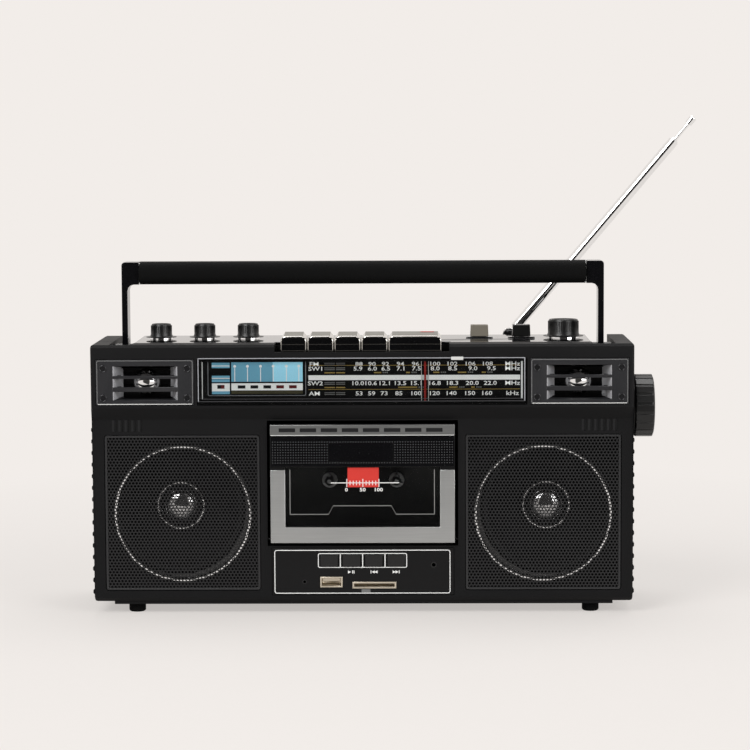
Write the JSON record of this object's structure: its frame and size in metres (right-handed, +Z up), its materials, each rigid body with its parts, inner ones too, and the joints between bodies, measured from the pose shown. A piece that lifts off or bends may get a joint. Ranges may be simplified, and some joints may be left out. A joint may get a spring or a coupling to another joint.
{
  "type": "portable radio cassette player",
  "caption": "Portable stereo radio cassette player with speakers, tuner dial, tape deck, knobs, folding handle and telescopic aerial.",
  "frame": {"origin": "centre of the small flat pad in the middle of the underside, 5.2 mm above the surface that the feet stand on", "axes": "+Z up, the front with the speakers faces -Y, +X to the right as seen from the front"},
  "size_m": [0.388, 0.109, 0.313],
  "materials": {
    "cabinet": "fine-textured black plastic",
    "gloss_black": "glossy black plastic",
    "soft_black": "soft black",
    "grille_metal": "perforated dark metal",
    "grey_plastic": "dark grey plastic",
    "silver_plastic": "silver paint on plastic",
    "plated_plastic": "bright plating on plastic",
    "chrome": "bright chrome",
    "steel": "plain steel",
    "port_metal": "plated metal",
    "iron": "laminated iron with a copper winding",
    "paper": "dark paper cone",
    "dial": "printed dark panel",
    "clear": "clear plastic",
    "red_plastic": "red plastic",
    "slide_grey": "warm grey plastic",
    "board": "green circuit board"
  },
  "bodies": {
    "cabinet": {"front_shell": "cabinet", "rear_shell": "cabinet", "top_plate": "gloss_black", "grille_left": "grille_metal", "grille_right": "grille_metal", "speaker_frame_left": "grille_metal", "speaker_frame_right": "grille_metal", "speaker_cone_left": "paper", "speaker_cone_right": "paper", "tweeter_bezel_left": "grey_plastic", "tweeter_bezel_right": "grey_plastic", "tweeter_dome_left": "plated_plastic", "tweeter_dome_right": "plated_plastic", "tuner_window": "clear", "dial_plate": "dial", "deck_chassis": "cabinet", "tape_head": "steel", "drive_motor": "steel", "media_panel": "gloss_black", "usb_port": "port_metal", "card_slot": "port_metal", "main_board": "board", "foot_front_left": "soft_black", "foot_front_right": "soft_black", "foot_rear_left": "soft_black", "foot_rear_right": "soft_black", "mains_inlet": "gloss_black", "transformer": "iron"},
    "handle": {"handle_grip": "soft_black", "handle_arm_left": "gloss_black", "handle_arm_right": "gloss_black"},
    "aerial_base": {"antenna_bracket": "chrome"},
    "aerial_rod": {"antenna_tube": "chrome"},
    "aerial_section_1": {"antenna_section_1": "chrome"},
    "aerial_section_2": {"antenna_section_2": "chrome"},
    "aerial_tip": {"antenna_tip": "chrome"},
    "tuning_knob": {"tuning_knob": "cabinet"},
    "dial_pointer": {"dial_pointer": "red_plastic"},
    "knob_volume": {"knob_volume": "cabinet"},
    "knob_tone": {"knob_tone": "cabinet"},
    "knob_balance": {"knob_balance": "cabinet"},
    "knob_band": {"knob_band": "cabinet"},
    "slide_function": {"slide_function": "slide_grey"},
    "slide_mode": {"slide_mode": "cabinet"},
    "key_pause": {"key_pause": "plated_plastic"},
    "key_stop_eject": {"key_stop_eject": "plated_plastic"},
    "key_fast_forward": {"key_fast_forward": "plated_plastic"},
    "key_rewind": {"key_rewind": "plated_plastic"},
    "key_play_record": {"key_play_record": "plated_plastic"},
    "door": {"cassette_door": "silver_plastic", "door_trim": "gloss_black", "door_window": "clear"},
    "button_mode": {"button_mode": "gloss_black"},
    "button_play": {"button_play": "gloss_black"},
    "button_back": {"button_back": "gloss_black"},
    "button_next": {"button_next": "gloss_black"},
    "spindle_left": {"spindle_left": "cabinet"},
    "spindle_right": {"spindle_right": "cabinet"},
    "flywheel": {"capstan_flywheel": "steel"},
    "battery_door": {"battery_door": "cabinet"}
  },
  "joints": [
    {"name": "handle_fold", "type": "hinge", "parent": "cabinet", "child": "handle", "pos_m": [0, -0.008, 0.158], "axis": [-1, 0, 0], "range_deg": [0, 90]},
    {"name": "aerial_swivel", "type": "hinge", "parent": "cabinet", "child": "aerial_base", "pos_m": [0.0956, 0.057, 0.146], "axis": [0, 0, -1], "range_deg": [-90, 90]},
    {"name": "aerial_tilt", "type": "hinge", "parent": "aerial_base", "child": "aerial_rod", "pos_m": [0.0956, 0.057, 0.164], "axis": [0, -1, 0], "range_deg": [-49, 129]},
    {"name": "aerial_slide_1", "type": "slide", "parent": "aerial_rod", "child": "aerial_section_1", "axis": [0.6468, 0, 0.7627], "range_m": [0, 0.14]},
    {"name": "aerial_slide_2", "type": "slide", "parent": "aerial_section_1", "child": "aerial_section_2", "axis": [0.6468, 0, 0.7627], "range_m": [0, 0.14]},
    {"name": "aerial_slide_tip", "type": "slide", "parent": "aerial_section_2", "child": "aerial_tip", "axis": [0.6468, 0, 0.7627], "range_m": [-0.0122, 0.125]},
    {"name": "tuning_turn", "type": "hinge", "parent": "cabinet", "child": "tuning_knob", "pos_m": [0.17, -0.021, 0.1248], "axis": [1, 0, 0], "range_deg": [-278, 296]},
    {"name": "pointer_slide", "type": "slide", "parent": "cabinet", "child": "dial_pointer", "axis": [1, 0, 0], "range_m": [-0.045, 0.048]},
    {"name": "volume_turn", "type": "hinge", "parent": "cabinet", "child": "knob_volume", "pos_m": [-0.1299, 0.005, 0.1658], "axis": [0, 0, -1], "range_deg": [-150, 150]},
    {"name": "tone_turn", "type": "hinge", "parent": "cabinet", "child": "knob_tone", "pos_m": [-0.10193, 0.005, 0.1658], "axis": [0, 0, -1], "range_deg": [-150, 150]},
    {"name": "balance_turn", "type": "hinge", "parent": "cabinet", "child": "knob_balance", "pos_m": [-0.07396, 0.005, 0.1658], "axis": [0, 0, -1], "range_deg": [-150, 150]},
    {"name": "band_turn", "type": "hinge", "parent": "cabinet", "child": "knob_band", "pos_m": [0.1284, 0.005, 0.1658], "axis": [0, 0, -1], "range_deg": [-45, 45]},
    {"name": "function_slide", "type": "slide", "parent": "cabinet", "child": "slide_function", "axis": [1, 0, 0], "range_m": [-0.0027, 0.0027]},
    {"name": "mode_slide", "type": "slide", "parent": "cabinet", "child": "slide_mode", "axis": [1, 0, 0], "range_m": [-0.0027, 0.0027]},
    {"name": "pause_press", "type": "slide", "parent": "cabinet", "child": "key_pause", "axis": [0, 0, -1], "range_m": [0, 0.0033], "stiffness_N_per_m": 250, "springref_m": -0.001},
    {"name": "stop_eject_press", "type": "slide", "parent": "cabinet", "child": "key_stop_eject", "axis": [0, 0, -1], "range_m": [0, 0.0033], "stiffness_N_per_m": 250, "springref_m": -0.001},
    {"name": "fast_forward_press", "type": "slide", "parent": "cabinet", "child": "key_fast_forward", "axis": [0, 0, -1], "range_m": [0, 0.0033], "stiffness_N_per_m": 250, "springref_m": -0.001},
    {"name": "rewind_press", "type": "slide", "parent": "cabinet", "child": "key_rewind", "axis": [0, 0, -1], "range_m": [0, 0.0033], "stiffness_N_per_m": 250, "springref_m": -0.001},
    {"name": "play_record_press", "type": "slide", "parent": "cabinet", "child": "key_play_record", "axis": [0, 0, -1], "range_m": [0, 0.0033], "stiffness_N_per_m": 250, "springref_m": -0.001},
    {"name": "door_open", "type": "hinge", "parent": "cabinet", "child": "door", "pos_m": [0, -0.0372, 0.0423], "axis": [1, 0, 0], "range_deg": [0, 35]},
    {"name": "mode_press", "type": "slide", "parent": "cabinet", "child": "button_mode", "axis": [0, 1, 0], "range_m": [0, 0.001], "stiffness_N_per_m": 300, "springref_m": -0.0005},
    {"name": "play_press", "type": "slide", "parent": "cabinet", "child": "button_play", "axis": [0, 1, 0], "range_m": [0, 0.001], "stiffness_N_per_m": 300, "springref_m": -0.0005},
    {"name": "back_press", "type": "slide", "parent": "cabinet", "child": "button_back", "axis": [0, 1, 0], "range_m": [0, 0.001], "stiffness_N_per_m": 300, "springref_m": -0.0005},
    {"name": "next_press", "type": "slide", "parent": "cabinet", "child": "button_next", "axis": [0, 1, 0], "range_m": [0, 0.001], "stiffness_N_per_m": 300, "springref_m": -0.0005},
    {"name": "spindle_left_spin", "type": "hinge", "parent": "cabinet", "child": "spindle_left", "pos_m": [-0.02125, -0.0183, 0.0774], "axis": [0, 1, 0], "continuous": true},
    {"name": "spindle_right_spin", "type": "hinge", "parent": "cabinet", "child": "spindle_right", "pos_m": [0.02125, -0.0183, 0.0774], "axis": [0, 1, 0], "continuous": true},
    {"name": "flywheel_spin", "type": "hinge", "parent": "cabinet", "child": "flywheel", "pos_m": [0.0135, -0.0157, 0.106], "axis": [0, 1, 0], "continuous": true},
    {"name": "battery_door_open", "type": "hinge", "parent": "cabinet", "child": "battery_door", "pos_m": [0, 0.0505, 0.008], "axis": [-1, 0, 0], "range_deg": [0, 90]}
  ],
  "couplings": [
    {"joint": "pointer_slide", "follows": "tuning_turn", "m_per_rad": 0.00925}
  ]
}
